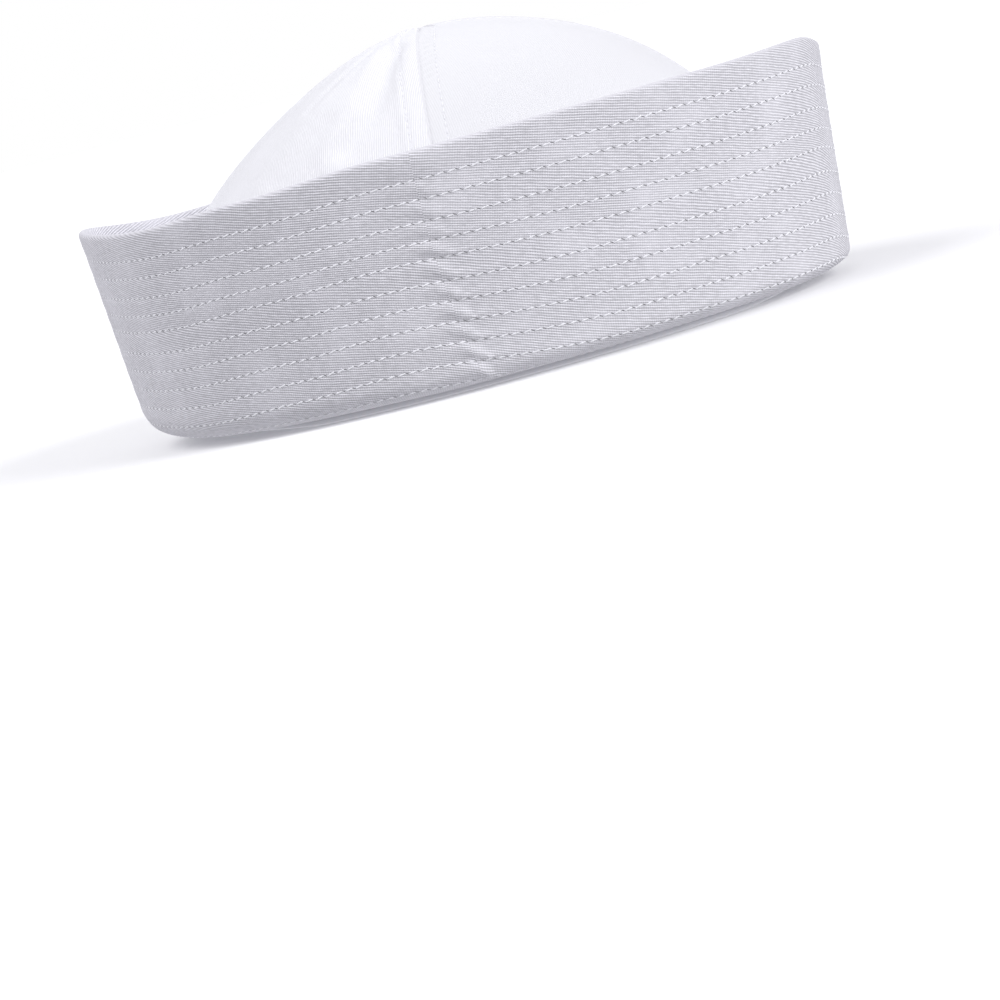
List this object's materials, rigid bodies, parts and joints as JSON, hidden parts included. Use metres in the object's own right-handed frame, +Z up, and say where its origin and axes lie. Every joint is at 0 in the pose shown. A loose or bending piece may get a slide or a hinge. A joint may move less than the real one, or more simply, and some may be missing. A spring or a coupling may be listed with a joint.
{
  "type": "sailor cap",
  "caption": "White cotton sailor cap with a round sewn crown and a deep, row-stitched brim turned straight up all round.",
  "frame": {"origin": "on the surface that the cap rests on, under the middle of the cap", "axes": "+X to the front of the cap, +Y to the wearer's left, +Z up through the crown"},
  "size_m": [0.2336, 0.1984, 0.1039],
  "materials": {
    "crown_twill": "white cotton twill, one ply, fine diagonal rib, matt",
    "brim_twill": "white cotton twill, several plies quilted by rows of stitching, matt",
    "band_cotton": "white cotton tape, matt"
  },
  "bodies": {
    "root": {"crown_gore_front_left": "crown_twill", "crown_gore_back_left": "crown_twill", "crown_gore_back_right": "crown_twill", "crown_gore_front_right": "crown_twill", "brim_front": "brim_twill", "brim_back": "brim_twill", "headband": "band_cotton"}
  },
  "joints": []
}
